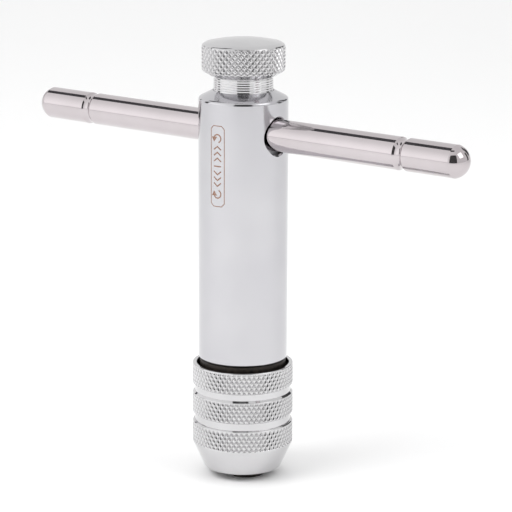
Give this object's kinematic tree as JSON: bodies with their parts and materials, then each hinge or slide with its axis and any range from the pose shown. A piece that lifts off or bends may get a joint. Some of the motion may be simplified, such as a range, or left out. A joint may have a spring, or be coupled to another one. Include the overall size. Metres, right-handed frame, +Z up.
{
  "type": "tap wrench",
  "caption": "T-handle ratchet tap wrench: bright tube body, sliding cross bar, knurled direction knob on top and a knurled screw chuck with jaws for square tap ends.",
  "frame": {"origin": "centre of the jaws' lower end face, on the tool's axis, at rest", "axes": "+Z up the tool's axis towards the direction knob, +X along the sliding cross bar, -Y the side that carries the direction mark"},
  "size_m": [0.12, 0.0226, 0.1],
  "materials": {
    "body_chrome": "polished chrome plate",
    "knurl_chrome": "chrome plate over diamond knurl",
    "bar_nickel": "polished nickel plate, slightly warm",
    "black_oxide": "black oxide, oiled",
    "machined_steel": "turned and ground",
    "spring_steel": "drawn spring steel",
    "bronze": "sintered bearing bronze",
    "seal_rubber": "nitrile rubber"
  },
  "bodies": {
    "handle": {"handle_body": "body_chrome", "bar_core": "machined_steel", "core_set_screw": "machined_steel", "pawl_pins": "machined_steel", "pawl_spring": "spring_steel", "lower_bush": "bronze", "bush_retaining_ring": "spring_steel", "thrust_washer": "bronze", "tbar_detent_spring": "spring_steel", "selector_detent_spring": "spring_steel"},
    "selector": {"selector_knob": "knurl_chrome", "selector_fork": "machined_steel", "knob_roll_pin": "spring_steel", "selector_cam_ring": "machined_steel"},
    "right_pawl": {"pawl_right": "machined_steel"},
    "left_pawl": {"pawl_left": "machined_steel"},
    "cross_bar": {"t_bar": "bar_nickel"},
    "bar_ball": {"tbar_detent_ball": "spring_steel"},
    "selector_ball": {"selector_detent_ball": "spring_steel"},
    "spindle": {"chuck_spindle": "black_oxide", "ratchet_wheel": "machined_steel", "wheel_key": "machined_steel", "spindle_retaining_ring": "spring_steel", "jaw_springs": "spring_steel"},
    "sleeve_carrier": {"sleeve_o_ring": "seal_rubber"},
    "sleeve": {"chuck_sleeve": "knurl_chrome"},
    "right_jaw": {"jaw_right": "black_oxide"},
    "left_jaw": {"jaw_left": "black_oxide"}
  },
  "joints": [
    {"name": "spindle_ratchet", "type": "hinge", "parent": "handle", "child": "spindle", "pos_m": [0, 0, 0], "axis": [0, 0, 1], "continuous": true},
    {"name": "tbar_slide", "type": "slide", "parent": "handle", "child": "cross_bar", "axis": [1, 0, 0], "range_m": [-0.0442, 0.0442]},
    {"name": "selector_turn", "type": "hinge", "parent": "handle", "child": "selector", "pos_m": [0, 0, 0], "axis": [0, 0, 1], "range_deg": [-30, 30], "deforming": ["pawl_spring"]},
    {"name": "right_pawl_pivot", "type": "hinge", "parent": "handle", "child": "right_pawl", "pos_m": [-0.00171, 0.00559, 0.0513], "axis": [0, 0, 1], "range_deg": [-5.5, 5.5]},
    {"name": "left_pawl_pivot", "type": "hinge", "parent": "handle", "child": "left_pawl", "pos_m": [-0.00171, -0.00559, 0.0513], "axis": [0, 0, 1], "range_deg": [-5.5, 5.5]},
    {"name": "sleeve_travel", "type": "slide", "parent": "spindle", "child": "sleeve_carrier", "axis": [0, 0, 1], "range_m": [-0.0032, 0.00215], "deforming": ["jaw_springs"]},
    {"name": "sleeve_turn", "type": "hinge", "parent": "sleeve_carrier", "child": "sleeve", "pos_m": [0, 0, 0.0217], "axis": [0, 0, 1], "range_deg": [-770, 518]},
    {"name": "right_jaw_slide", "type": "slide", "parent": "spindle", "child": "right_jaw", "axis": [1, 0, 0], "range_m": [-0.00096, 0.00143]},
    {"name": "left_jaw_slide", "type": "slide", "parent": "spindle", "child": "left_jaw", "axis": [-1, 0, 0], "range_m": [-0.00096, 0.00143]},
    {"name": "bar_ball_press", "type": "slide", "parent": "handle", "child": "bar_ball", "axis": [0, 0, 1], "range_m": [-0.0006, 0], "stiffness_N_per_m": 400, "springref_m": 0.001, "deforming": ["tbar_detent_spring"]},
    {"name": "selector_ball_press", "type": "slide", "parent": "handle", "child": "selector_ball", "axis": [0, 0, 1], "range_m": [-0.0003, 0], "stiffness_N_per_m": 200, "springref_m": 0.001, "deforming": ["selector_detent_spring"]}
  ],
  "couplings": [
    {"joint": "right_pawl_pivot", "follows": "selector_turn", "ratio": 0.18},
    {"joint": "left_pawl_pivot", "follows": "selector_turn", "ratio": 0.18},
    {"joint": "sleeve_turn", "follows": "sleeve_travel", "rad_per_m": 4188.8},
    {"joint": "right_jaw_slide", "follows": "sleeve_travel", "ratio": -0.445},
    {"joint": "left_jaw_slide", "follows": "sleeve_travel", "ratio": -0.445}
  ]
}
